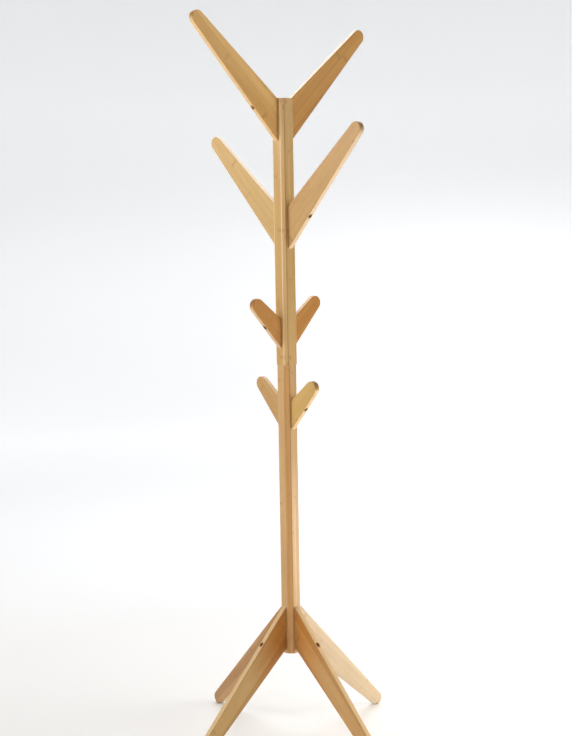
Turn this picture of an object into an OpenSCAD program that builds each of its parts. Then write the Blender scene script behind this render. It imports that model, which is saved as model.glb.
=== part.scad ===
// Standing coat rack in solid bamboo: one pole in two sections, eight hook boards
// in four levels and four splayed legs, every board bolted to a flat of the pole.
// Millimetres. +Z is up. The origin is on the floor, under the axis of the pole.
// The top and third pairs of hooks lie along X, the second and lowest along Y,
// and there is a leg in each of the four directions.

/* [Pole] */
// Width of the pole across its flats
pole_w = 40; // [38:1:46]
// Corner chamfer of the upper pole section, measured along a flat
upper_corner = 7; // [4:0.5:9]
// Corner chamfer of the lower pole section, measured along a flat
lower_corner = 9.5; // [6:0.5:10.5]
// Height of the top of the pole above the floor
pole_top = 1486; // [1470:1:1600]
// Height of the lower end of the pole above the floor
pole_bottom = 198; // [194:1:206]
// Height of the joint between the two pole sections
pole_joint = 880; // [870:1:885]
// Depth of the turned chamfer round the lower end of the pole
bottom_chamfer = 5; // [2:0.5:7]
// Depth of the turned chamfer round the top of the pole
top_chamfer = 1.5; // [0.5:0.5:3]

/* [Boards] */
// Thickness of every hook and leg board
board_t = 13; // [12:0.5:16]

/* [Large hooks] */
// Height of a large hook where it meets the pole
large_root = 96; // [90:1:110]
// Distance from the pole's axis to the centre of the rounded tip
large_reach = 240; // [200:1:300]
// Height of the tip's centre above the lowest point of the root
large_rise = 254; // [230:1:280]
// Radius of the rounded tip
large_tip = 16; // [12:0.5:18]
// Height of the second pair's lowest point above the floor
second_level = 1147; // [1120:1:1180]

/* [Small hooks] */
// Height of a small hook where it meets the pole
small_root = 68; // [64:1:76]
// Distance from the pole's axis to the centre of the rounded tip
small_reach = 87; // [80:1:110]
// Height of the tip's centre above the lowest point of the root
small_rise = 100; // [92:1:120]
// Radius of the rounded tip
small_tip = 16.5; // [12:0.5:18]
// Height of the third pair's lowest point above the floor
third_level = 919; // [912:1:960]
// Height of the lowest pair's lowest point above the floor
lowest_level = 730; // [700:1:760]

/* [Legs] */
// Height of the lowest point of a leg's root above the floor
leg_level = 211; // [209:1:216]
// Height of a leg where it meets the pole
leg_root = 100; // [92:1:112]
// Distance from the pole's axis to the centre of the rounded foot
leg_reach = 278; // [240:1:320]
// Radius of the rounded foot
foot_r = 16; // [14:0.5:18]
// Thickness of the felt pad under each foot
pad_t = 2; // [1:0.5:3]
// Diameter of the felt pad
pad_d = 12; // [8:0.5:12]

/* [Fittings] */
// Height of the bolt above the lowest point of a large hook's root
large_bolt_h = 72; // [68:1:76]
// Height of the bolt above the lowest point of a small hook's root
small_bolt_h = 50; // [46:1:54]
// Height of the bolt above the lowest point of a leg's root
leg_bolt_h = 23; // [20:1:28]
// Height of the dowel above the lowest point of a large hook's root
large_dowel_h = 32; // [30:1:40]
// Height of the dowel above the lowest point of a small hook's root
small_dowel_h = 22; // [21:1:26]
// Height of the dowel above the lowest point of a leg's root
leg_dowel_h = 65; // [56:1:68]

/* [Hidden] */

// Directions of the boards round the pole
right = 0;
back = 90;
left = 180;
front = 270;

face = pole_w / 2;                       // a flat of the pole, from its axis
top_level = pole_top - large_root;       // the top hooks end flush with the pole

// M5 socket-head bolts, from stock lengths
bolt_d = 5;
bolt_hole_d = 5.5;
bolt_head_d = 8.5;
bolt_head_h = 5;
counterbore_d = 9;
socket_af = 4;
socket_depth = 3;
long_bolt = 45;
short_bolt = 30;
bolt_end = 8;                            // where a bolt ends, from the pole's axis

// Threaded inserts in the flats of the pole
insert_d = 10;
insert_end = 7;
insert_socket_h = 1;                     // how far an insert stands below its flat

// Beech dowels beside each bolt
dowel_d = 6;
dowel_end = 8;
long_dowel = 30;
short_dowel = 20;
dowel_chamfer = 0.8;

// M8 stud and inserts that join the pole sections
stud_d = 8;
stud_hole_d = 8.5;
stud_length = 50;
stud_chamfer = 1;
stud_insert_d = 12;
stud_insert_length = 22;
stud_insert_sink = 0.5;                  // how far an insert stands back from the joint

past = 1;                                // how far a cutter passes a surface
tip_proud = 0.05;                        // how far a rounded tip stands past the edges
$fn = 64;

// The board shapes: root height, tip distance, tip height above the root, tip radius
large_shape = [large_root, large_reach, large_rise, large_tip];
small_shape = [small_root, small_reach, small_rise, small_tip];
leg_shape = [leg_root, leg_reach, foot_r - leg_level, foot_r];

// Point where a line from p touches a circle of radius r round c, on the given side
function touch_point(p, c, r, side) =
    let (
        gap = c - p,
        away = norm(gap),
        run = sqrt(away * away - r * r),
        turn = atan2(gap[1], gap[0]) + side * asin(r / away)
    )
    p + run * [cos(turn), sin(turn)];

// Corners of a board: root low, root high, upper touch, tip centre, lower touch
function corners(shape) =
    let (
        low = [face, 0],
        high = [face, shape[0]],
        tip = [shape[1], shape[2]],
        r = shape[3] - tip_proud
    )
    [low, high, touch_point(high, tip, r, 1), tip, touch_point(low, tip, r, -1)];

// Places its children against the flat that faces the given way, at a height
module against_pole(direction, height) {
    rotate([0, 0, direction]) translate([0, 0, height]) children();
}

// A cylinder along X from start to end, centred on the axis at height h
module bore(start, end, h, d) {
    translate([start, 0, h]) rotate([0, 90, 0]) cylinder(d = d, h = end - start);
}

// Tapered board with a rounded end, standing in the XZ plane
module board(shape) {
    c = corners(shape);
    rotate([90, 0, 0])
        union() {
            linear_extrude(height = board_t, center = true) polygon(c);
            translate(c[3]) cylinder(r = shape[3], h = board_t, center = true);
        }
}

// Bored board of a hook or leg, lying along +X with its root's low point at z = 0
module bored_board(shape, bolt_h, bolt_length, dowel_h, dowel_length) {
    seat = bolt_end + bolt_length;
    difference() {
        board(shape);
        bore(face - past, seat + past, bolt_h, bolt_hole_d);
        bore(seat, shape[1], bolt_h, counterbore_d);
        bore(face - past, dowel_end + dowel_length, dowel_h, dowel_d);
    }
}

module large_hook(direction, height) {
    color("burlywood")
        against_pole(direction, height)
            bored_board(large_shape, large_bolt_h, long_bolt, large_dowel_h, long_dowel);
}

module small_hook(direction, height) {
    color("burlywood")
        against_pole(direction, height)
            bored_board(small_shape, small_bolt_h, short_bolt, small_dowel_h, short_dowel);
}

// Leg with its foot cut flat for the pad
module leg(direction) {
    color("tan")
        against_pole(direction, leg_level)
            difference() {
                bored_board(leg_shape, leg_bolt_h, long_bolt, leg_dowel_h, long_dowel);
                translate([leg_reach - 2 * foot_r, -board_t, -leg_level - foot_r])
                    cube([4 * foot_r, 2 * board_t, foot_r + pad_t]);
            }
}

// Flats and chamfered corners of the pole, seen along its axis
module pole_outline(corner) {
    flat = face - corner;
    polygon([
        [face, -flat], [face, flat], [flat, face], [-flat, face],
        [-face, flat], [-face, -flat], [-flat, -face], [flat, -face]
    ]);
}

// Turned blank that leaves a conical chamfer round one end of a pole section.
// The chamfer starts at the corners, and reaches its full depth at the end.
module turned_blank(z0, z1, corner, low_chamfer, high_chamfer) {
    reach = norm([face, face - corner]);
    rotate_extrude($fn = 96)
        polygon([
            [0, z0], [reach - low_chamfer, z0], [reach, z0 + low_chamfer],
            [reach, z1 - high_chamfer], [reach - high_chamfer, z1], [0, z1]
        ]);
}

// Holes in the flats for one board: the insert, the bolt's end and the dowel
module pole_holes(direction, height, bolt_h, dowel_h) {
    against_pole(direction, height) {
        bore(insert_end, face + past, bolt_h, insert_d);
        bore(dowel_end, face + past, dowel_h, dowel_d);
    }
}

module large_hook_holes(height, directions) {
    for (d = directions) pole_holes(d, height, large_bolt_h, large_dowel_h);
}

module small_hook_holes(height, directions) {
    for (d = directions) pole_holes(d, height, small_bolt_h, small_dowel_h);
}

// Hole in the end of a section for the stud and its insert
module stud_hole(side) {
    translate([0, 0, pole_joint])
        mirror([0, 0, side < 0 ? 1 : 0])
            translate([0, 0, -past]) {
                cylinder(d = stud_insert_d, h = stud_insert_sink + stud_insert_length + past);
                cylinder(d = stud_hole_d, h = stud_length / 2 + 2 * past);
            }
}

module upper_pole() {
    color("wheat")
        difference() {
            intersection() {
                translate([0, 0, pole_joint])
                    linear_extrude(height = pole_top - pole_joint)
                        pole_outline(upper_corner);
                turned_blank(pole_joint - past, pole_top, upper_corner, 0, top_chamfer);
            }
            stud_hole(1);
            large_hook_holes(top_level, [right, left]);
            large_hook_holes(second_level, [front, back]);
            small_hook_holes(third_level, [right, left]);
        }
}

module lower_pole() {
    color("wheat")
        difference() {
            intersection() {
                translate([0, 0, pole_bottom])
                    linear_extrude(height = pole_joint - pole_bottom)
                        pole_outline(lower_corner);
                turned_blank(pole_bottom, pole_joint + past, lower_corner, bottom_chamfer, 0);
            }
            stud_hole(-1);
            small_hook_holes(lowest_level, [front, back]);
            for (d = [right, back, left, front]) pole_holes(d, leg_level, leg_bolt_h, leg_dowel_h);
        }
}

module pole_joint_stud() {
    half = stud_length / 2;
    r = stud_d / 2;
    color("silver")
        translate([0, 0, pole_joint])
            rotate_extrude()
                polygon([
                    [0, -half], [r - stud_chamfer, -half], [r, stud_chamfer - half],
                    [r, half - stud_chamfer], [r - stud_chamfer, half], [0, half]
                ]);
}

module pole_joint_inserts() {
    color("silver")
        for (side = [0, 1])
            translate([0, 0, pole_joint])
                mirror([0, 0, side])
                    difference() {
                        translate([0, 0, stud_insert_sink])
                            cylinder(d = stud_insert_d, h = stud_insert_length);
                        cylinder(d = stud_d, h = stud_length);
                    }
}

// Socket-head bolt along X, with its end in the pole
module bolt(bolt_h, length) {
    seat = bolt_end + length;
    difference() {
        union() {
            bore(bolt_end, seat, bolt_h, bolt_d);
            bore(seat, seat + bolt_head_h, bolt_h, bolt_head_d);
        }
        translate([seat + bolt_head_h - socket_depth, 0, bolt_h])
            rotate([0, 90, 0])
                cylinder(d = socket_af / cos(30), h = socket_depth + past, $fn = 6);
    }
}

// Insert with its threaded bore, sunk a little below its flat
module insert(bolt_h) {
    difference() {
        bore(insert_end, face - insert_socket_h, bolt_h, insert_d);
        bore(insert_end - past, face + past, bolt_h, bolt_d);
    }
}

// Dowel with chamfered ends, half in the pole and half in the board
module dowel(dowel_h, length) {
    r = dowel_d / 2;
    translate([dowel_end, 0, dowel_h])
        rotate([0, 90, 0])
            rotate_extrude()
                polygon([
                    [0, 0], [r - dowel_chamfer, 0], [r, dowel_chamfer],
                    [r, length - dowel_chamfer], [r - dowel_chamfer, length], [0, length]
                ]);
}

// Puts one child against the pole at each large hook
module at_large_hooks() {
    for (d = [right, left]) against_pole(d, top_level) children();
    for (d = [front, back]) against_pole(d, second_level) children();
}

module at_small_hooks() {
    for (d = [right, left]) against_pole(d, third_level) children();
    for (d = [front, back]) against_pole(d, lowest_level) children();
}

module at_legs() {
    for (d = [right, back, left, front]) against_pole(d, leg_level) children();
}

module large_hook_bolts() { color("dimgray") at_large_hooks() bolt(large_bolt_h, long_bolt); }
module small_hook_bolts() { color("dimgray") at_small_hooks() bolt(small_bolt_h, short_bolt); }
module leg_bolts() { color("dimgray") at_legs() bolt(leg_bolt_h, long_bolt); }

module large_hook_inserts() { color("darkgoldenrod") at_large_hooks() insert(large_bolt_h); }
module small_hook_inserts() { color("darkgoldenrod") at_small_hooks() insert(small_bolt_h); }
module leg_inserts() { color("darkgoldenrod") at_legs() insert(leg_bolt_h); }

module large_hook_dowels() { color("peru") at_large_hooks() dowel(large_dowel_h, long_dowel); }
module small_hook_dowels() { color("peru") at_small_hooks() dowel(small_dowel_h, short_dowel); }
module leg_dowels() { color("peru") at_legs() dowel(leg_dowel_h, long_dowel); }

module foot_pad(direction) {
    color("saddlebrown")
        rotate([0, 0, direction])
            translate([leg_reach, 0, 0])
                cylinder(d = pad_d, h = pad_t);
}

upper_pole();
lower_pole();
pole_joint_stud();
pole_joint_inserts();
large_hook(right, top_level);  // top_hook_right
large_hook(left, top_level);  // top_hook_left
large_hook(front, second_level);  // second_hook_front
large_hook(back, second_level);  // second_hook_back
small_hook(right, third_level);  // third_hook_right
small_hook(left, third_level);  // third_hook_left
small_hook(front, lowest_level);  // lowest_hook_front
small_hook(back, lowest_level);  // lowest_hook_back
leg(right);  // leg_right
leg(back);  // leg_back
leg(left);  // leg_left
leg(front);  // leg_front
large_hook_bolts();
small_hook_bolts();
leg_bolts();
large_hook_inserts();
small_hook_inserts();
leg_inserts();
large_hook_dowels();
small_hook_dowels();
leg_dowels();
foot_pad(right);  // foot_pad_right
foot_pad(back);  // foot_pad_back
foot_pad(left);  // foot_pad_left
foot_pad(front);  // foot_pad_front
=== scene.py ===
import math

import bmesh
import bpy
from mathutils import Euler, Matrix, Vector


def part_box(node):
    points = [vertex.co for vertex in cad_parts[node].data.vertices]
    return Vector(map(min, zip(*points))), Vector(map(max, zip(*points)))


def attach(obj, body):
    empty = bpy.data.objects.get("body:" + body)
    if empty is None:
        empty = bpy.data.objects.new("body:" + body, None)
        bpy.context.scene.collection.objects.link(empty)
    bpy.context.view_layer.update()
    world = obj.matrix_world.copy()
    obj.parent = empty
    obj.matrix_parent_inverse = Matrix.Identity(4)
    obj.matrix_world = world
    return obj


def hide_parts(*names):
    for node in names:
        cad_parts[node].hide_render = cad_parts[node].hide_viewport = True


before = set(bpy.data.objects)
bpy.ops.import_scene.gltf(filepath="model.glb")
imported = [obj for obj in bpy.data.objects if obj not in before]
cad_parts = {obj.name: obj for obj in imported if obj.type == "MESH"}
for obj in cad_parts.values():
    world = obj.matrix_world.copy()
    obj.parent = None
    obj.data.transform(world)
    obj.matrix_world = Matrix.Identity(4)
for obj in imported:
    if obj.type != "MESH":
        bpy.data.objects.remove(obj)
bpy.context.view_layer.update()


# ---------------------------------------------------------------------------
# Pole. Two lengths of a square bamboo blank, pressed from narrow upright
# strips, with the corners planed off, the arrises eased by sanding, and the
# lower end turned. Satin lacquer. The boards are fixed to its four flats.
# ---------------------------------------------------------------------------

def alone(piece):
    """Makes a piece the only one selected, and the active one."""
    bpy.ops.object.select_all(action="DESELECT")
    piece.select_set(True)
    bpy.context.view_layer.objects.active = piece


def settle(piece):
    """Puts a piece's place and turn into its mesh."""
    alone(piece)
    bpy.ops.object.transform_apply(location=True, rotation=True, scale=True)


def pick_edges(piece, wanted):
    """Goes into edit mode with only the wanted edges selected."""
    alone(piece)
    bpy.ops.object.mode_set(mode="EDIT")
    bpy.ops.mesh.select_mode(type="EDGE")
    bpy.ops.mesh.select_all(action="DESELECT")
    shape = bmesh.from_edit_mesh(piece.data)
    for edge in shape.edges:
        if wanted(edge):
            edge.select_set(True)
    bmesh.update_edit_mesh(piece.data)


def leave_edit():
    """Goes back to object mode, which writes the mesh."""
    bpy.ops.object.mode_set(mode="OBJECT")


def in_plane(axis, place):
    """A test for edges that lie in the plane across an axis (0, 1 or 2) at this place."""
    return lambda edge: all(abs(v.co[axis] - place) < 1e-6 for v in edge.verts)


def ease(piece, wanted, size, steps):
    """Rounds the wanted edges over. One step makes a plain chamfer."""
    pick_edges(piece, wanted)
    bpy.ops.mesh.bevel(offset=size, segments=steps, profile=0.5, clamp_overlap=False)
    leave_edit()


def rod(start, end, diameter, sides=48):
    """A round bar from one point to another: a blank, or a drill to bore with."""
    start, end = Vector(start), Vector(end)
    run = end - start
    bpy.ops.object.select_all(action="DESELECT")
    bpy.ops.mesh.primitive_cylinder_add(
        vertices=sides,
        radius=diameter / 2,
        depth=run.length,
        location=(start + end) / 2,
        rotation=run.to_track_quat("Z", "X").to_euler(),
    )
    bar = bpy.context.object
    settle(bar)
    return bar


def join(pieces):
    """Joins several pieces in the first one."""
    alone(pieces[0])
    for piece in pieces:
        piece.select_set(True)
    bpy.ops.object.join()
    return pieces[0]


def cut(piece, tool, operation="DIFFERENCE"):
    """Cuts a piece with a tool, which is then gone."""
    alone(piece)
    step = piece.modifiers.new("cut", "BOOLEAN")
    step.operation = operation
    step.solver = "EXACT"
    step.object = tool
    bpy.ops.object.modifier_apply(modifier=step.name)
    bpy.data.objects.remove(tool)


def smooth(piece):
    """Rounded edges shade smoothly, and flat faces stay flat."""
    alone(piece)
    bpy.ops.object.shade_smooth_by_angle(angle=math.radians(32))
    step = piece.modifiers.new("weigh", "WEIGHTED_NORMAL")
    step.keep_sharp = True
    step.weight = 100
    bpy.ops.object.modifier_apply(modifier=step.name)


def wear(piece, material):
    """Gives a piece one material all over."""
    piece.data.materials.clear()
    piece.data.materials.append(material)


def add(tree, kind, inputs=None, **settings):
    """Adds a shader node, with its settings and its inputs: values or sockets."""
    made = tree.nodes.new("ShaderNode" + kind)
    for name, value in settings.items():
        setattr(made, name, value)
    for name, value in (inputs or {}).items():
        if isinstance(value, bpy.types.NodeSocket):
            tree.links.new(value, made.inputs[name])
        else:
            made.inputs[name].default_value = value
    return made


def new_material(name):
    """A material with an empty node tree, and the node that gives coordinates in it."""
    material = bpy.data.materials.new(name)
    material.use_nodes = True
    tree = material.node_tree
    tree.nodes.clear()
    return material, tree, add(tree, "TexCoord")


def finish_surface(tree, inputs):
    """Ends a tree in one principled shader with these inputs."""
    shader = add(tree, "BsdfPrincipled", inputs)
    add(tree, "OutputMaterial", {"Surface": shader.outputs[0]})


def reckon(tree, operation, *values, clamp=False):
    """Arithmetic on sockets or numbers."""
    made = add(tree, "Math", dict(enumerate(values)), operation=operation, use_clamp=clamp)
    return made.outputs[0]


def fade(tree, value, start, end, low=0.0, high=1.0):
    """Goes smoothly from low to high as the value goes from start to end."""
    made = add(
        tree, "MapRange",
        {"Value": value, "From Min": start, "From Max": end, "To Min": low, "To Max": high},
        interpolation_type="SMOOTHSTEP",
    )
    return made.outputs["Result"]


def blend_colour(tree, share, first, second, kind="MIX"):
    """Puts a share of the second colour over the first."""
    made = add(
        tree, "Mix", {"Factor": share, "A": first, "B": second},
        data_type="RGBA", blend_type=kind,
    )
    return made.outputs["Result"]


def share_along(tree, vector, way):
    """How far a vector goes along a fixed way."""
    made = add(tree, "VectorMath", {0: vector, 1: tuple(way)}, operation="DOT_PRODUCT")
    return made.outputs["Value"]


def on_plan(tree, at):
    """A point's place on plan, its distance from the pole's axis, and its height."""
    x, y, height = add(tree, "SeparateXYZ", {"Vector": at.outputs["Object"]}).outputs
    ground = add(tree, "CombineXYZ", {"X": x, "Y": y, "Z": 0.0}).outputs[0]
    reach = add(tree, "VectorMath", {0: ground}, operation="LENGTH").outputs["Value"]
    return ground, reach, height


def grain_noise(tree, place, stretch, detail=2.0, roughness=0.5):
    """Noise on the grain's own coordinates, with so many cycles a metre each way."""
    scaled = add(tree, "VectorMath", {0: place, 1: stretch}, operation="MULTIPLY")
    made = add(
        tree, "TexNoise",
        {"Vector": scaled.outputs[0], "Scale": 1.0, "Detail": detail, "Roughness": roughness},
    )
    return made.outputs["Fac"]


def bamboo(name, turn, strip, ply, stagger, pale, deep, lot, mix=0.5, edge_pale=0.5,
           corner=None, arris_highlight=0.0, root=None):
    """Pressed bamboo under satin lacquer, between a pale and a deep tone. turn brings the
    piece's length to X, its strips' width to Z and its plies to Y. strip and ply are their
    sizes, stagger shifts the strips, lot draws another culm, and mix is how far the strips
    differ. edge_pale paints the sawn edges of a board paler, partly as their own
    tone and partly as painted light. corner tints the planed corners of a square blank, as
    painted light where it lightens them, arris_highlight paints a highlight on their arrises,
    and root tints a board near the pole as painted shade."""
    material, tree, at = new_material(name)
    is_board = ply < strip
    lot_length = 0.37
    laid = add(
        tree, "Mapping",
        {"Vector": at.outputs["Object"], "Rotation": turn.to_euler("XYZ"),
         "Location": (lot_length * lot, 0.0, 0.0)},
    )
    place = laid.outputs["Vector"]
    along, through, across = add(tree, "SeparateXYZ", {"Vector": place}).outputs

    # the strip and the ply that this point is in, and chances for each strip
    ply_shift = 0.37 if is_board else 0.0
    plies = reckon(tree, "DIVIDE", through, ply)
    layer = reckon(tree, "FLOOR", plies)
    offset = reckon(tree, "MULTIPLY_ADD", layer, ply_shift, stagger)
    count = reckon(tree, "ADD", reckon(tree, "DIVIDE", across, strip), offset)
    cell = add(
        tree, "CombineXYZ", {"X": reckon(tree, "FLOOR", count), "Y": layer, "Z": 1.7 * lot}
    )
    chance = add(tree, "TexWhiteNoise", {"Vector": cell.outputs[0]}, noise_dimensions="3D")
    tone_chance, ring_place, ring_power = add(
        tree, "SeparateColor", {"Color": chance.outputs["Color"]}
    ).outputs
    own_length = add(tree, "CombineXYZ", {"X": tone_chance, "Y": 0.0, "Z": 0.0}).outputs[0]
    culm = add(tree, "VectorMath", {0: place, 1: own_length}, operation="ADD").outputs[0]

    # slow change of tone, fibres, dark bundles of the fibres, and waviness of the rings
    drift = grain_noise(tree, culm, (5, 26, 26), 2)
    streak = grain_noise(tree, culm, (3, 190, 190), 2)
    fibre = grain_noise(tree, culm, (16, 1000, 1000), 3, 0.6)
    bundle = grain_noise(tree, culm, (60, 1900, 1900), 1)
    wander = grain_noise(tree, culm, (70, 260, 260), 3)

    # rings of the culm cross each strip at places of its own
    ring_spacing, ring_half, line_half, waviness = 0.29, 0.008, 0.0014, 0.012
    turns = reckon(tree, "MULTIPLY_ADD", along, 1 / ring_spacing, ring_place)
    past_ring = reckon(tree, "SUBTRACT", reckon(tree, "FRACT", turns), 0.5)
    past_ring = reckon(tree, "MULTIPLY", past_ring, ring_spacing)
    wander = reckon(tree, "SUBTRACT", wander, 0.5)
    past_ring = reckon(tree, "MULTIPLY_ADD", wander, waviness, past_ring)
    past_ring = reckon(tree, "ABSOLUTE", past_ring)
    broken = fade(tree, bundle, 0.2, 0.6, 0.4, 1.0)
    ring_power = reckon(tree, "MULTIPLY", ring_power, broken)
    ring = reckon(tree, "MULTIPLY", fade(tree, past_ring, ring_half, 0.0), ring_power)
    ring_line = reckon(tree, "MULTIPLY", fade(tree, past_ring, line_half, 0.0), ring_power)

    # glue lines between strips and between plies
    glue_edge, glue_core = 0.00035, 0.00008
    lines = []
    for cells, width in ((count, strip), (plies, ply)):
        part = reckon(tree, "FRACT", cells)
        gap = reckon(tree, "MINIMUM", part, reckon(tree, "SUBTRACT", 1.0, part))
        gap = reckon(tree, "MULTIPLY", gap, width)
        lines.append(fade(tree, gap, glue_edge, glue_core))
    glue = reckon(tree, "MAXIMUM", *lines)

    # faces that cut the fibres show their ends
    length_way = turn.inverted() @ Vector((1, 0, 0))
    facing = share_along(tree, at.outputs["Normal"], length_way)
    ends = fade(tree, reckon(tree, "ABSOLUTE", facing), 0.35, 0.95)

    # the tone of the strip, and the brown marks on it
    tone = reckon(tree, "SUBTRACT", tone_chance, 0.5)
    tone = reckon(tree, "MULTIPLY_ADD", tone, mix, 0.5)
    for noise, power in ((drift, 0.9), (streak, 0.5), (fibre, 0.45)):
        tone = reckon(tree, "MULTIPLY_ADD", reckon(tree, "SUBTRACT", noise, 0.5), power, tone)
    tone = reckon(tree, "ADD", tone, 0.0, clamp=True)
    colour = blend_colour(tree, tone, (*pale, 1), (*deep, 1))
    brown = (deep[0] * 0.50, deep[1] * 0.38, deep[2] * 0.28, 1)
    for mask, power in (
        (fade(tree, bundle, 0.60, 0.74), 0.30),
        (ring, 0.34),
        (ring_line, 0.40),
        (glue, 0.30),
        (ends, 0.68),
    ):
        colour = blend_colour(tree, reckon(tree, "MULTIPLY", mask, power), colour, brown)

    # planed corners: a slant of 0.5 is the corner itself, and its arrises are just under
    if corner:
        nx, ny, _ = add(tree, "SeparateXYZ", {"Vector": at.outputs["Normal"]}).outputs
        slant = reckon(tree, "ABSOLUTE", reckon(tree, "MULTIPLY", nx, ny))
        # painted light: the corner colour lightens the upper pole's corners where the front
        # light falls on them, and warms the lower pole's
        planed = fade(tree, slant, 0.2, 0.45)
        colour = blend_colour(tree, planed, colour, (*corner, 1), "MULTIPLY")
        arris = reckon(
            tree, "MULTIPLY", fade(tree, slant, 0.06, 0.20), fade(tree, slant, 0.47, 0.40)
        )
        # a painted highlight runs down the arrises beside the X flats, and a browner line down
        # those beside the Y flats
        x_side_lean = reckon(
            tree, "SUBTRACT", reckon(tree, "ABSOLUTE", nx), reckon(tree, "ABSOLUTE", ny)
        )
        highlight_side = fade(tree, x_side_lean, 0.1, 0.3, 0.0, arris_highlight)
        brown_side = fade(tree, x_side_lean, -0.1, -0.3, 0.0, 0.45)
        painted_arris_highlight = reckon(tree, "MULTIPLY", arris, highlight_side)
        dark_arris = reckon(tree, "MULTIPLY", arris, brown_side)
        colour = blend_colour(tree, painted_arris_highlight, colour, (0.90, 0.74, 0.52, 1))
        colour = blend_colour(tree, dark_arris, colour, brown)

    # sawn edges of a board are painted paler than its flat sides: partly their own paler tone,
    # partly painted light from above and from the floor
    if is_board:
        ply_way = turn.inverted() @ Vector((0, 1, 0))
        flat = share_along(tree, at.outputs["Normal"], ply_way)
        flat = fade(tree, reckon(tree, "ABSOLUTE", flat), 0.3, 0.8)
        edge = reckon(tree, "MULTIPLY", reckon(tree, "SUBTRACT", 1.0, flat),
                      reckon(tree, "SUBTRACT", 1.0, ends))
        edge = reckon(tree, "MULTIPLY", edge, edge_pale)
        colour = blend_colour(tree, edge, colour, (0.86, 0.68, 0.43, 1))
        # painted shade, warm like the light thrown between the legs: root darkens a leg's flat
        # sides near the pole
        if root:
            _, reach, _ = on_plan(tree, at)
            painted_shade_near = reckon(tree, "MULTIPLY", fade(tree, reach, 0.15, 0.04), flat)
            colour = blend_colour(tree, painted_shade_near, colour, (*root, 1), "MULTIPLY")

    gloss = reckon(tree, "MULTIPLY_ADD", fibre, 0.14, 0.30)
    gloss = reckon(tree, "MULTIPLY_ADD", ends, 0.22, gloss)
    relief = reckon(tree, "MULTIPLY_ADD", glue, -0.6, fibre)
    relief = reckon(tree, "MULTIPLY_ADD", ring, 0.6, relief)
    bump = add(tree, "Bump", {"Height": relief, "Strength": 0.3, "Distance": 0.00012})
    finish_surface(
        tree,
        {"Base Color": colour, "Roughness": gloss, "Normal": bump.outputs[0],
         "Coat Weight": 0.16, "Coat Roughness": 0.2, "IOR": 1.48,
         "Specular IOR Level": 0.32},
    )
    return material


POLE_HOLE = 0.010          # for the threaded inserts
DOWEL_HOLE = 0.006
STUD_HOLE = 0.012
STUD_DEPTH = 0.026
BORE_START = 0.007         # bottom of an insert's hole, from the pole's axis
DOWEL_START = 0.008
BORE_END = 0.021           # just outside the flat
PAST = 0.001               # a drill runs out of the wood by this much
UPPER_CORNER, LOWER_CORNER = 0.007, 0.0095
TOP_ROUND, SEAM_ROUND, FOOT_ROUND = 0.0015, 0.0004, 0.005
POLE_EASE = 0.0018
POLE_STRIP, POLE_PLY = 0.0066, 0.0214

# heights over the low point of a board's root
LARGE_BOLT, LARGE_DOWEL = 0.072, 0.032
SMALL_BOLT, SMALL_DOWEL = 0.050, 0.022
LEG_BOLT, LEG_DOWEL = 0.023, 0.065
LEG_ROOT = 0.100           # height of a leg's end at the pole

RIGHT, BACK, LEFT, FRONT = 0, 90, 180, 270     # degrees round the pole
pole_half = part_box("upper_pole")[1].x
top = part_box("top_hook_right")[0].z
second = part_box("second_hook_front")[0].z
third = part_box("third_hook_right")[0].z
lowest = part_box("lowest_hook_front")[0].z
leg_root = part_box("leg_right")[1].z - LEG_ROOT


def turned_blank(low, high, low_round, high_round, radius):
    """A turned bar, with its two rims rounded."""
    blank = rod((0, 0, low), (0, 0, high), 2 * radius, 128)
    for level, size in ((low, low_round), (high, high_round)):
        ease(blank, in_plane(2, level), size, 6)
    return blank


def upright(edge):
    """A test for the long edges that stand up."""
    a, b = (v.co for v in edge.verts)
    return abs(a.z - b.z) > 0.1


def pole_section(name, corner, low_round, high_round, boards, stud_end):
    """A planed, turned and bored length of the pole. boards are (direction, height of
    the bolt, height of the dowel), and stud_end is -1 for the low end, 1 for the high."""
    low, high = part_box(name)
    bpy.ops.object.select_all(action="DESELECT")
    bpy.ops.mesh.primitive_cube_add(size=1, location=(low + high) / 2, scale=high - low)
    section = bpy.context.object
    section.name = name + "_section"
    settle(section)
    ease(section, upright, corner, 1)
    ease(section, upright, POLE_EASE, 4)
    radius = math.hypot(pole_half, pole_half - corner)
    cut(section, turned_blank(low.z, high.z, low_round, high_round, radius), "INTERSECT")
    bores = []
    for direction, bolt, dowel in boards:
        way = Vector((math.cos(math.radians(direction)), math.sin(math.radians(direction)), 0))
        for start, height, hole in (
            (BORE_START, bolt, POLE_HOLE), (DOWEL_START, dowel, DOWEL_HOLE),
        ):
            level = Vector((0, 0, height))
            bores.append(rod(way * start + level, way * BORE_END + level, hole))
    inner = low.z if stud_end < 0 else high.z
    bores.append(rod(
        (0, 0, inner + stud_end * PAST), (0, 0, inner - stud_end * STUD_DEPTH), STUD_HOLE
    ))
    cut(section, join(bores))
    smooth(section)
    return section


pole_turn = Euler((0, math.radians(90), 0)).to_matrix()

upper_pole = pole_section(
    "upper_pole", UPPER_CORNER, SEAM_ROUND, TOP_ROUND,
    [(way, root + bolt, root + dowel) for root, ways, bolt, dowel in (
        (top, (RIGHT, LEFT), LARGE_BOLT, LARGE_DOWEL),
        (second, (BACK, FRONT), LARGE_BOLT, LARGE_DOWEL),
        (third, (RIGHT, LEFT), SMALL_BOLT, SMALL_DOWEL),
    ) for way in ways],
    -1,
)
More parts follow.
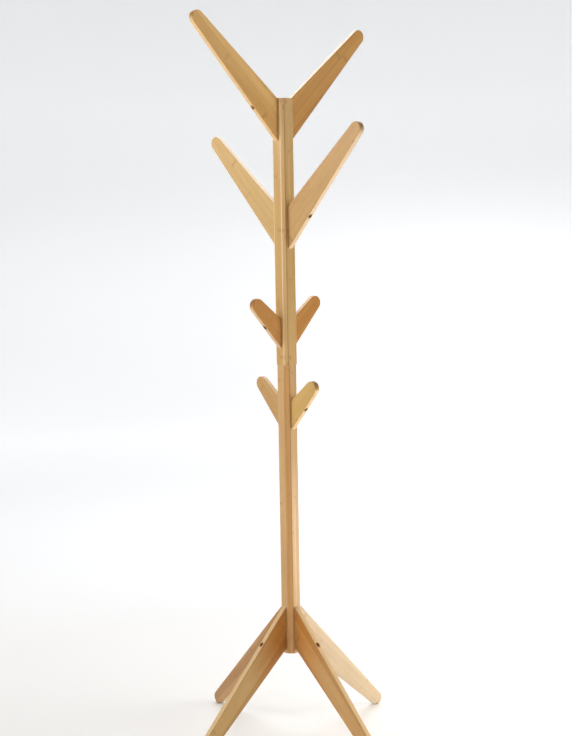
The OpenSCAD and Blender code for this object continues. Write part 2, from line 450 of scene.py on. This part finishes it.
# the upper pole's corners get painted light from the front, and its arrises a painted highlight
wear(upper_pole, bamboo("upper_pole_bamboo", pole_turn, POLE_STRIP, POLE_PLY, 0.5,
                        (0.645, 0.435, 0.178), (0.49, 0.28, 0.088), 3.0,
                        corner=(1.30, 1.32, 1.50), arris_highlight=0.9))
lower_pole = pole_section(
    "lower_pole", LOWER_CORNER, FOOT_ROUND, SEAM_ROUND,
    [(way, root + bolt, root + dowel) for root, ways, bolt, dowel in (
        (lowest, (BACK, FRONT), SMALL_BOLT, SMALL_DOWEL),
        (leg_root, (RIGHT, BACK, LEFT, FRONT), LEG_BOLT, LEG_DOWEL),
    ) for way in ways],
    1,
)
wear(lower_pole, bamboo("lower_pole_bamboo", pole_turn, POLE_STRIP, POLE_PLY, 0.5,
                        (0.655, 0.445, 0.217), (0.50, 0.282, 0.109), 5.0,
                        corner=(1.12, 0.95, 0.74)))
for section, node in ((upper_pole, "upper_pole"), (lower_pole, "lower_pole")):
    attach(section, "root")
    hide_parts(node)


# ---------------------------------------------------------------------------
# Large hooks. Four tapered boards of three-ply pressed bamboo, in two pairs,
# sawn to one template, with a round end and rounded-over edges. Each is
# drilled through its lower edge for the bolt, with a counterbore for the head.
# ---------------------------------------------------------------------------

BOLT_HOLE, HEAD_HOLE = 0.0055, 0.009
BOARD_EASE = 0.0016
BOARD_STRIP, BOARD_PLY = 0.0195, 0.0044


def touch_point(start, centre, radius, side):
    """Where a line from start touches a circle, on the given side."""
    gap = centre - start
    run = math.sqrt(gap.length_squared - radius * radius)
    turn = math.atan2(gap.y, gap.x) + side * math.asin(radius / gap.length)
    return start + run * Vector((math.cos(turn), math.sin(turn)))


def tapered_board(root_x, root_height, tip, radius, thickness, floor=None):
    """A board along X with its root's low point at height 0 and a round tip. The
    round end is half of a disc, and its cut side is drawn out to the root."""
    tip = Vector(tip)
    root = Vector((root_x, root_height)), Vector((root_x, 0))
    upper = touch_point(root[0], tip, radius, 1)
    lower = touch_point(root[1], tip, radius, -1)
    bpy.ops.object.select_all(action="DESELECT")
    bpy.ops.mesh.primitive_cylinder_add(
        vertices=96, radius=radius, depth=thickness,
        location=(tip.x, 0, tip.y), rotation=(math.radians(90), 0, 0),
    )
    board = bpy.context.object
    settle(board)
    bpy.ops.object.mode_set(mode="EDIT")
    bpy.ops.mesh.select_all(action="SELECT")
    chord = (upper - lower).normalized()
    bpy.ops.mesh.bisect(
        plane_co=(upper.x, 0, upper.y),
        plane_no=(chord.y, 0, -chord.x),
        clear_inner=True,
        threshold=1e-6,
    )
    move = root[0] - upper
    bpy.ops.mesh.extrude_edges_move(
        TRANSFORM_OT_translate={"value": (move.x, 0, move.y)}
    )
    bpy.ops.mesh.edge_face_add()
    bpy.ops.mesh.select_mode(type="VERT")
    bpy.ops.mesh.select_all(action="DESELECT")
    shape = bmesh.from_edit_mesh(board.data)
    low_end = lower + move
    for v in shape.verts:
        v.select_set((Vector((v.co.x, v.co.z)) - low_end).length < 1e-5)
    bmesh.update_edit_mesh(board.data)
    shift = root[1] - low_end
    bpy.ops.transform.translate(value=(shift.x, 0, shift.y))
    if floor is not None:
        bpy.ops.mesh.select_all(action="SELECT")
        bpy.ops.mesh.bisect(
            plane_co=(0, 0, floor), plane_no=(0, 0, 1),
            clear_inner=True, use_fill=True, threshold=1e-6,
        )
    bpy.ops.mesh.select_all(action="SELECT")
    bpy.ops.mesh.normals_make_consistent(inside=False)
    leave_edit()

    at_root = in_plane(0, root_x)

    def arris(edge):
        sides = sorted(abs(f.normal.y) for f in edge.link_faces)
        return sides[0] < 0.1 and sides[1] > 0.9 and not at_root(edge)

    ease(board, arris, BOARD_EASE, 4)
    return board


def bore_board(board, root_x, bolt, seat, dowel, dowel_end, reach):
    """Bolt hole, counterbore from its seat outwards, and dowel hole, all along X."""
    cut(board, rod((root_x - PAST, 0, bolt), (seat + PAST, 0, bolt), BOLT_HOLE))
    cut(board, rod((seat, 0, bolt), (reach, 0, bolt), HEAD_HOLE))
    cut(board, rod((root_x - PAST, 0, dowel), (dowel_end, 0, dowel), DOWEL_HOLE))


def turned_copy(pattern, direction, height):
    """A copy with its own mesh, turned to its flat of the pole and raised."""
    piece = pattern.copy()
    piece.data = pattern.data.copy()
    bpy.context.collection.objects.link(piece)
    piece.rotation_euler.z = math.radians(direction)
    piece.location.z = height
    settle(piece)
    return piece


def place_board(pattern, node, direction, height):
    """One board, sawn to the template, in its place."""
    piece = turned_copy(pattern, direction, height)
    piece.name = node + "_board"
    smooth(piece)
    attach(piece, "root")
    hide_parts(node)
    return piece


def board_bamboo(node, direction, lean, pale, deep, lot, **more):
    """The bamboo of one board. Its strips run along its middle line, which leans by so
    many degrees, and start at a place of their own."""
    turn = Matrix.Rotation(math.radians(lean), 3, "Y") @ Matrix.Rotation(
        -math.radians(direction), 3, "Z"
    )
    stagger = 0.61 * lot
    return bamboo(
        node + "_bamboo", turn, BOARD_STRIP, BOARD_PLY, stagger, pale, deep, lot, **more
    )


low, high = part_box("top_hook_right")
LARGE_ROOT, LARGE_TIP = 0.096, 0.016
LARGE_SEAT, LARGE_DOWEL_END = 0.053, 0.038
large_tip = (high.x - LARGE_TIP, high.z - LARGE_TIP - low.z)
large_pattern = tapered_board(low.x, LARGE_ROOT, large_tip, LARGE_TIP, high.y - low.y)
bore_board(
    large_pattern, low.x, LARGE_BOLT, LARGE_SEAT, LARGE_DOWEL, LARGE_DOWEL_END, large_tip[0]
)
LARGE_LEAN = math.degrees(math.atan2(large_tip[1] - LARGE_ROOT / 2, large_tip[0] - low.x))
# the last column is how far the sawn edges are painted paler: partly their own tone, partly
# painted light
for node, direction, height, pale, deep, lot, edge_pale in (
    ("top_hook_right", RIGHT, top, (0.575, 0.30, 0.060), (0.44, 0.197, 0.035), 1.0, 0.1),
    ("top_hook_left", LEFT, top, (0.74, 0.455, 0.14), (0.585, 0.31, 0.073), 2.0, 0.5),
    ("second_hook_front", FRONT, second, (0.605, 0.405, 0.175), (0.46, 0.25, 0.088), 4.0, 0.5),
    ("second_hook_back", BACK, second, (0.645, 0.457, 0.21), (0.51, 0.322, 0.12), 6.0, 0.5),
):
    wear(
        place_board(large_pattern, node, direction, height),
        board_bamboo(node, direction, LARGE_LEAN, pale, deep, lot, edge_pale=edge_pale),
    )
bpy.data.objects.remove(large_pattern)


# ---------------------------------------------------------------------------
# Small hooks. Four short boards of the same pressed bamboo for hats, scarves
# and bags, in two pairs below the large ones, with the same round end,
# rounded-over edges and counterbored bolt.
# ---------------------------------------------------------------------------

low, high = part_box("third_hook_right")
SMALL_ROOT, SMALL_TIP = 0.068, 0.0165
SMALL_SEAT, SMALL_DOWEL_END = 0.038, 0.028
small_tip = (high.x - SMALL_TIP, high.z - SMALL_TIP - low.z)
small_pattern = tapered_board(low.x, SMALL_ROOT, small_tip, SMALL_TIP, high.y - low.y)
bore_board(
    small_pattern, low.x, SMALL_BOLT, SMALL_SEAT, SMALL_DOWEL, SMALL_DOWEL_END, small_tip[0]
)
SMALL_LEAN = math.degrees(math.atan2(small_tip[1] - SMALL_ROOT / 2, small_tip[0] - low.x))
# the last column is how far the sawn edges are painted paler: partly their own tone, partly
# painted light
for node, direction, height, pale, deep, lot, edge_pale in (
    ("third_hook_right", RIGHT, third, (0.60, 0.30, 0.070), (0.445, 0.198, 0.038), 7.0, 0.3),
    ("third_hook_left", LEFT, third, (0.60, 0.295, 0.078), (0.445, 0.192, 0.042), 8.0, 0.5),
    ("lowest_hook_front", FRONT, lowest, (0.665, 0.456, 0.16), (0.53, 0.316, 0.088), 9.0, 0.5),
    ("lowest_hook_back", BACK, lowest, (0.60, 0.405, 0.178), (0.48, 0.28, 0.098), 10.0, 0.5),
):
    wear(
        place_board(small_pattern, node, direction, height),
        board_bamboo(node, direction, SMALL_LEAN, pale, deep, lot, edge_pale=edge_pale),
    )
bpy.data.objects.remove(small_pattern)


# ---------------------------------------------------------------------------
# Legs. Four boards of the same pressed bamboo, splayed from the foot of the
# pole. The counterbore is in the upper edge, and the round foot is sanded
# flat underneath for its felt pad.
# ---------------------------------------------------------------------------

low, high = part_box("leg_right")
FOOT = 0.016
LEG_SEAT, LEG_DOWEL_END = 0.053, 0.038
foot = (high.x - FOOT, FOOT - leg_root)
leg_pattern = tapered_board(
    low.x, LEG_ROOT, foot, FOOT, high.y - low.y, floor=low.z - leg_root
)
bore_board(leg_pattern, low.x, LEG_BOLT, LEG_SEAT, LEG_DOWEL, LEG_DOWEL_END, foot[0])
LEG_LEAN = math.degrees(math.atan2(foot[1] - LEG_ROOT / 2, foot[0] - low.x))
# the last column is painted shade near the pole, deepest between leg_left and leg_front
for node, direction, pale, deep, lot, root in (
    # leg_right's pale, greyed tones are partly painted reflection of the bright floor and lamps
    # on its right
    ("leg_right", RIGHT, (0.62, 0.52, 0.38), (0.52, 0.40, 0.255), 11.0, (1, 0.97, 0.93)),
    ("leg_back", BACK, (0.48, 0.287, 0.131), (0.377, 0.202, 0.077), 12.0, (0.95, 0.85, 0.70)),
    ("leg_left", LEFT, (0.58, 0.377, 0.15), (0.455, 0.258, 0.08), 13.0, (0.88, 0.58, 0.31)),
    ("leg_front", FRONT, (0.595, 0.365, 0.145), (0.465, 0.25, 0.077), 14.0, (1.0, 0.80, 0.58)),
):
    wear(
        place_board(leg_pattern, node, direction, leg_root),
        board_bamboo(node, direction, LEG_LEAN, pale, deep, lot, mix=0.8, root=root),
    )
bpy.data.objects.remove(leg_pattern)


# ---------------------------------------------------------------------------
# Bolts. One M5 socket-head cap bolt for each board, blacked steel: a turned
# and knurled head with a hexagonal socket, and a rolled thread on the end of
# the shank that screws into the pole. The head is down in its counterbore.
# ---------------------------------------------------------------------------

LONG, SHORT = 0.045, 0.030
BOLT_END = 0.008           # from the pole's axis
BOLT_D, HEAD_D, HEAD_H = 0.005, 0.0085, 0.005
HEAD_LAP = 0.0004          # the shank runs into the head by this much
HEAD_EASE, SEAT_EASE = 0.0005, 0.0002
PITCH, THREAD_DEPTH, THREADS = 0.0008, 0.00042, 20
CREST, SLOPE = 0.12, 0.38  # parts of a pitch
SOCKET_D, SOCKET_DEPTH = 0.004 / math.cos(math.radians(30)), 0.003
KNURL_STEP, KNURL_SIZE = 7.5, 0.972     # degrees, and a part of the head's size


def cap_bolt(length):
    """A bolt along X, with its shank drawn out ring by ring to form the thread."""
    seat = BOLT_END + length
    plain = BOLT_END + PITCH * THREADS
    shank = rod((plain, 0, 0), (seat + HEAD_LAP, 0, 0), BOLT_D, 24)
    pick_edges(shank, in_plane(0, plain))
    bpy.ops.mesh.select_mode(type="FACE")
    shape = bmesh.from_edit_mesh(shank.data)
    for face in shape.faces:
        face.select_set(face.normal.x < -0.9)
    bmesh.update_edit_mesh(shank.data)
    root = 1 - 2 * THREAD_DEPTH / BOLT_D
    place = plain
    for turn in range(THREADS):
        for part, size in ((CREST, 1.0), (SLOPE, root), (CREST, 1.0), (SLOPE, 1 / root)):
            last = turn == THREADS - 1 and size > 1
            bpy.ops.mesh.extrude_region_move(
                TRANSFORM_OT_translate={"value": (-part * PITCH, 0, 0)}
            )
            place -= part * PITCH
            if not last and size != 1.0:
                bpy.ops.transform.resize(value=(1, size, size), center_override=(place, 0, 0))
    leave_edit()

    head = rod((seat, 0, 0), (seat + HEAD_H, 0, 0), HEAD_D, 48)
    ease(head, in_plane(0, seat + HEAD_H), HEAD_EASE, 3)
    ease(head, in_plane(0, seat), SEAT_EASE, 1)

    def pressed_in(edge):
        """A test for every second line of the side, which makes the knurl."""
        at = edge.verts[0].co
        line = round(math.degrees(math.atan2(at.z, at.y)) / KNURL_STEP)
        return edge.calc_length() > 0.003 and line % 2 == 0

    pick_edges(head, pressed_in)
    bpy.ops.transform.resize(
        value=(1, KNURL_SIZE, KNURL_SIZE), center_override=(seat, 0, 0)
    )
    leave_edit()
    cut(head, shank, "UNION")
    deep = seat + HEAD_H - SOCKET_DEPTH
    cut(head, rod((deep, 0, 0), (seat + HEAD_H + PAST, 0, 0), SOCKET_D, 6))
    head.name = "cap_bolt"
    return head


def place_bolts(length, node, places):
    """Bolts of one length, each in its own bore, joined as one piece."""
    pattern = cap_bolt(length)
    piece = join([turned_copy(pattern, *place) for place in places])
    piece.name = node + "_blacked"
    smooth(piece)
    wear(piece, black)
    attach(piece, "root")
    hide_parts(node)
    bpy.data.objects.remove(pattern)


def blacked_steel():
    """Oil-blacked steel, rubbed to bare metal here and there."""
    material, tree, at = new_material("blacked_steel")
    cloud = add(
        tree, "TexNoise", {"Vector": at.outputs["Object"], "Scale": 900.0, "Detail": 3.0}
    )
    rubbed = fade(tree, cloud.outputs["Fac"], 0.52, 0.72)
    colour = blend_colour(tree, rubbed, (0.012, 0.012, 0.013, 1), (0.09, 0.09, 0.093, 1))
    dull = reckon(tree, "MULTIPLY_ADD", cloud.outputs["Fac"], 0.25, 0.28)
    bump = add(
        tree, "Bump", {"Height": cloud.outputs["Fac"], "Strength": 0.2, "Distance": 0.00003}
    )
    finish_surface(
        tree,
        {"Base Color": colour, "Metallic": 0.85, "Roughness": dull, "Normal": bump.outputs[0]},
    )
    return material


black = blacked_steel()
place_bolts(LONG, "large_hook_bolts", (
    (RIGHT, top + LARGE_BOLT), (LEFT, top + LARGE_BOLT),
    (BACK, second + LARGE_BOLT), (FRONT, second + LARGE_BOLT),
))
place_bolts(SHORT, "small_hook_bolts", (
    (RIGHT, third + SMALL_BOLT), (LEFT, third + SMALL_BOLT),
    (BACK, lowest + SMALL_BOLT), (FRONT, lowest + SMALL_BOLT),
))
place_bolts(LONG, "leg_bolts", (
    (RIGHT, leg_root + LEG_BOLT), (BACK, leg_root + LEG_BOLT),
    (LEFT, leg_root + LEG_BOLT), (FRONT, leg_root + LEG_BOLT),
))


# ---------------------------------------------------------------------------
# Inserts and stud. Threaded bushes of zinc-plated steel in the flats of the
# pole, and the plated stud with its two bushes that joins the two sections.
# They are hidden, and keep their turned shapes.
# ---------------------------------------------------------------------------

def plated(name, colour, tint):
    """Zinc plating, with the soft clouds of its passivation."""
    material, tree, at = new_material(name)
    cloud = add(
        tree, "TexNoise", {"Vector": at.outputs["Object"], "Scale": 260.0, "Detail": 4.0}
    )
    shade = blend_colour(tree, cloud.outputs["Fac"], (*colour, 1), (*tint, 1))
    dull = reckon(tree, "MULTIPLY_ADD", cloud.outputs["Fac"], 0.3, 0.2)
    bump = add(
        tree, "Bump", {"Height": cloud.outputs["Fac"], "Strength": 0.15, "Distance": 0.00005}
    )
    finish_surface(
        tree,
        {"Base Color": shade, "Metallic": 1.0, "Roughness": dull, "Normal": bump.outputs[0]},
    )
    return material


yellow_zinc = plated("yellow_zinc", (0.78, 0.66, 0.38), (0.62, 0.55, 0.42))
bright_zinc = plated("bright_zinc", (0.72, 0.74, 0.77), (0.55, 0.58, 0.63))
for node, plating in (
    ("large_hook_inserts", yellow_zinc), ("small_hook_inserts", yellow_zinc),
    ("leg_inserts", yellow_zinc), ("pole_joint_inserts", yellow_zinc),
    ("pole_joint_stud", bright_zinc),
):
    wear(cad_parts[node], plating)


# ---------------------------------------------------------------------------
# Dowels. A short beech pin beside each bolt keeps the board from turning.
# Half of it is in the pole and half in the board, so it is hidden.
# ---------------------------------------------------------------------------

def beech():
    """Pale beech with its short dark flecks, cut along the grain."""
    material, tree, at = new_material("beech_dowel")
    wood = grain_noise(tree, at.outputs["Object"], (250, 250, 900), 3, 0.6)
    fleck = fade(tree, grain_noise(tree, at.outputs["Object"], (700, 700, 1800), 1), 0.62, 0.72)
    colour = blend_colour(tree, wood, (0.72, 0.50, 0.31, 1), (0.56, 0.36, 0.20, 1))
    colour = blend_colour(tree, fleck, colour, (0.33, 0.18, 0.09, 1))
    dull = reckon(tree, "MULTIPLY_ADD", wood, 0.2, 0.55)
    bump = add(tree, "Bump", {"Height": wood, "Strength": 0.3, "Distance": 0.00008})
    finish_surface(
        tree, {"Base Color": colour, "Roughness": dull, "Normal": bump.outputs[0]}
    )
    return material


pins = beech()
for node in ("large_hook_dowels", "small_hook_dowels", "leg_dowels"):
    wear(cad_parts[node], pins)


# ---------------------------------------------------------------------------
# Foot pads. A disc of brown pressed felt glued under each foot, with its rim
# worn round.
# ---------------------------------------------------------------------------

def felt():
    """Brown wool felt: short crossing hairs, no shine."""
    material, tree, at = new_material("brown_felt")
    lying = grain_noise(tree, at.outputs["Object"], (5200, 900, 5200), 3, 0.7)
    crossing = grain_noise(tree, at.outputs["Object"], (900, 5200, 5200), 3, 0.7)
    hairs = reckon(tree, "MAXIMUM", lying, crossing)
    colour = blend_colour(tree, hairs, (0.045, 0.030, 0.022, 1), (0.16, 0.11, 0.08, 1))
    dull = reckon(tree, "MULTIPLY_ADD", hairs, 0.1, 0.88)
    bump = add(tree, "Bump", {"Height": hairs, "Strength": 0.6, "Distance": 0.0003})
    finish_surface(
        tree,
        {"Base Color": colour, "Roughness": dull, "Normal": bump.outputs[0],
         "Sheen Weight": 0.4, "Sheen Roughness": 0.5},
    )
    return material


WORN_ROUND, GLUED_ROUND = 0.0006, 0.0002
brown_felt = felt()
for node in ("foot_pad_right", "foot_pad_back", "foot_pad_left", "foot_pad_front"):
    low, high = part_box(node)
    middle = (low + high) / 2
    pad = rod((middle.x, middle.y, low.z), (middle.x, middle.y, high.z), high.x - low.x, 48)
    pad.name = node + "_felt"
    ease(pad, in_plane(2, low.z), WORN_ROUND, 3)
    ease(pad, in_plane(2, high.z), GLUED_ROUND, 2)
    smooth(pad)
    wear(pad, brown_felt)
    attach(pad, "root")
    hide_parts(node)


# ---------------------------------------------------------------------------
# Studio. A white paper floor that turns up into a wall all round, with a painted
# glow on it. Large soft lamps hang high behind, overhead and on the left, and
# smaller warm ones stand in front, on the upper left and on the right.
# ---------------------------------------------------------------------------

VIEW_TURN = math.radians(41.26)
right_way = Vector((math.cos(VIEW_TURN), -math.sin(VIEW_TURN), 0))
away = Vector((math.sin(VIEW_TURN), math.cos(VIEW_TURN), 0))
up = Vector((0, 0, 1))


def paper():
    """White paper with a painted glow, as if lit from behind: evenly up the back, more on
    the right and at the foot of the sweep, and a little round the stand."""
    material, tree, at = new_material("studio_paper")
    tooth = add(tree, "TexNoise", {"Vector": at.outputs["Object"], "Scale": 300.0})
    bump = add(
        tree, "Bump", {"Height": tooth.outputs["Fac"], "Strength": 0.05, "Distance": 0.0005}
    )
    ground, reach, height = on_plan(tree, at)
    back = reckon(tree, "DIVIDE", share_along(tree, ground, away), reach)
    back = reckon(tree, "MAXIMUM", back, 0.0)
    to_right = fade(tree, share_along(tree, ground, right_way), -1.2, 1.8)

    # the wall glows behind the stand, and above it all round
    wall = fade(tree, height, 0.6, 1.9, 0.55, 0.43)
    low_down = fade(tree, height, 1.9, 0.9, 0.0, 0.14)
    wall = reckon(tree, "MULTIPLY_ADD", to_right, low_down, wall)
    wall = reckon(tree, "MULTIPLY", wall, reckon(tree, "MULTIPLY", back, back))
    high_up = reckon(tree, "MULTIPLY_ADD", height, 0.6, -0.72, clamp=True)
    wall = reckon(tree, "MULTIPLY", wall, reckon(tree, "SUBTRACT", 1.0, high_up))
    wall = reckon(tree, "MULTIPLY_ADD", high_up, 0.40, wall)

    # the floor glows more the farther it is from the stand, and to the right
    outer = reckon(tree, "MULTIPLY_ADD", reach, 0.25, -0.25, clamp=True)
    sweep_foot = fade(tree, reach, 3.0, 4.8, 0.0, 0.12)
    floor = reckon(tree, "MULTIPLY_ADD", outer, 0.37, sweep_foot)
    floor = reckon(tree, "ADD", floor, fade(tree, reach, 1.8, 0.1, 0.03, 0.0))
    floor = reckon(tree, "MULTIPLY_ADD", to_right, 0.16, floor)

    off_floor = fade(tree, height, 0.02, 0.52)
    on_floor = reckon(tree, "SUBTRACT", 1.0, off_floor)
    glow = reckon(tree, "MULTIPLY", wall, off_floor)
    glow = reckon(tree, "MULTIPLY_ADD", floor, on_floor, glow)
    finish_surface(
        tree,
        {"Base Color": (0.82, 0.84, 0.87, 1), "Roughness": 0.9, "Normal": bump.outputs[0],
         "Emission Color": (1, 1, 1, 1), "Emission Strength": glow},
    )
    return material


FLOOR_R, SWEEP_R, SWEEP_STEPS, WALL_TOP = 5.2, 2.2, 12, 3.6
bpy.ops.object.select_all(action="DESELECT")
bpy.ops.mesh.primitive_circle_add(vertices=96, radius=FLOOR_R, fill_type="NGON")
sweep = bpy.context.object
sweep.name = "studio_sweep"
pick_edges(sweep, lambda e: True)
reach, level = FLOOR_R, 0.0
for step in range(1, SWEEP_STEPS + 1):
    angle = math.radians(90 * step / SWEEP_STEPS)
    new_reach = FLOOR_R + SWEEP_R * math.sin(angle)
    new_level = SWEEP_R * (1 - math.cos(angle))
    bpy.ops.mesh.extrude_edges_move(
        TRANSFORM_OT_translate={"value": (0, 0, new_level - level)}
    )
    grow = new_reach / reach
    bpy.ops.transform.resize(value=(grow, grow, 1), center_override=(0, 0, new_level))
    reach, level = new_reach, new_level
bpy.ops.mesh.extrude_edges_move(TRANSFORM_OT_translate={"value": (0, 0, WALL_TOP - level)})
bpy.ops.mesh.select_all(action="SELECT")
bpy.ops.mesh.normals_make_consistent(inside=True)
leave_edit()
alone(sweep)
bpy.ops.object.shade_smooth()
wear(sweep, paper())

world = bpy.data.worlds.new("studio_air")
world.use_nodes = True
world.node_tree.nodes["Background"].inputs["Strength"].default_value = 0.0
bpy.context.scene.world = world
bpy.context.scene.view_settings.view_transform = "Standard"


def lamp(name, turn, distance, height, target, size, power, colour=(1, 1, 1)):
    """A soft box that faces a target. turn is in degrees from the right of the stand,
    90 is behind it, and power is in watts."""
    data = bpy.data.lights.new(name, "AREA")
    data.shape = "RECTANGLE"
    data.size, data.size_y = size
    data.energy = power
    data.color = colour
    box = bpy.data.objects.new(name, data)
    bpy.context.collection.objects.link(box)
    turn = math.radians(turn)
    box.location = (right_way * math.cos(turn) + away * math.sin(turn)) * distance + up * height
    box.rotation_euler = (Vector(target) - box.location).to_track_quat("-Z", "Y").to_euler()


WARM = (1.0, 0.89, 0.74)
lamp("high_back_lamp", 90, 2.2, 3.3, away * 1.6, (3.0, 1.5), 91)
lamp("top_lamp", 0, 0.0, 3.9, (0, 0, 0), (1.2, 1.2), 19)
lamp("wide_left_lamp", 203, 4.0, 1.3, up * 0.9, (3.2, 2.4), 58, WARM)
lamp("front_lamp", -98, 3.0, 1.5, up * 1.15, (0.35, 1.1), 8, WARM)
lamp("upper_left_lamp", 180, 1.6, 1.9, up * 1.2, (0.9, 0.9), 10.5, WARM)
lamp("upper_right_lamp", -15, 2.3, 2.3, up * 1.0, (1.1, 1.2), 14.5, WARM)
lamp("low_right_lamp", 0, 1.0, 0.25, up * 0.15, (0.5, 0.4), 4.9, WARM)
lamp("low_back_lamp", 25, 1.0, 0.25, up * 0.15, (0.5, 0.4), 3.3, WARM)

view = bpy.data.cameras.new("camera")
view.sensor_fit = "VERTICAL"
view.sensor_height = 36.0
view.lens = 64.33
TILT_DOWN, ROLL = math.radians(5.61), math.radians(-0.98)
ASIDE, STAND_OFF, EYE_HEIGHT = -0.0019, 3.0325, 1.1694
camera = bpy.data.objects.new("camera", view)
bpy.context.collection.objects.link(camera)
camera.location = right_way * ASIDE - away * STAND_OFF + up * EYE_HEIGHT
camera.rotation_euler = (
    Matrix.Rotation(-VIEW_TURN, 3, "Z")
    @ Matrix.Rotation(math.radians(90) - TILT_DOWN, 3, "X")
    @ Matrix.Rotation(ROLL, 3, "Z")
).to_euler()
bpy.context.scene.camera = camera
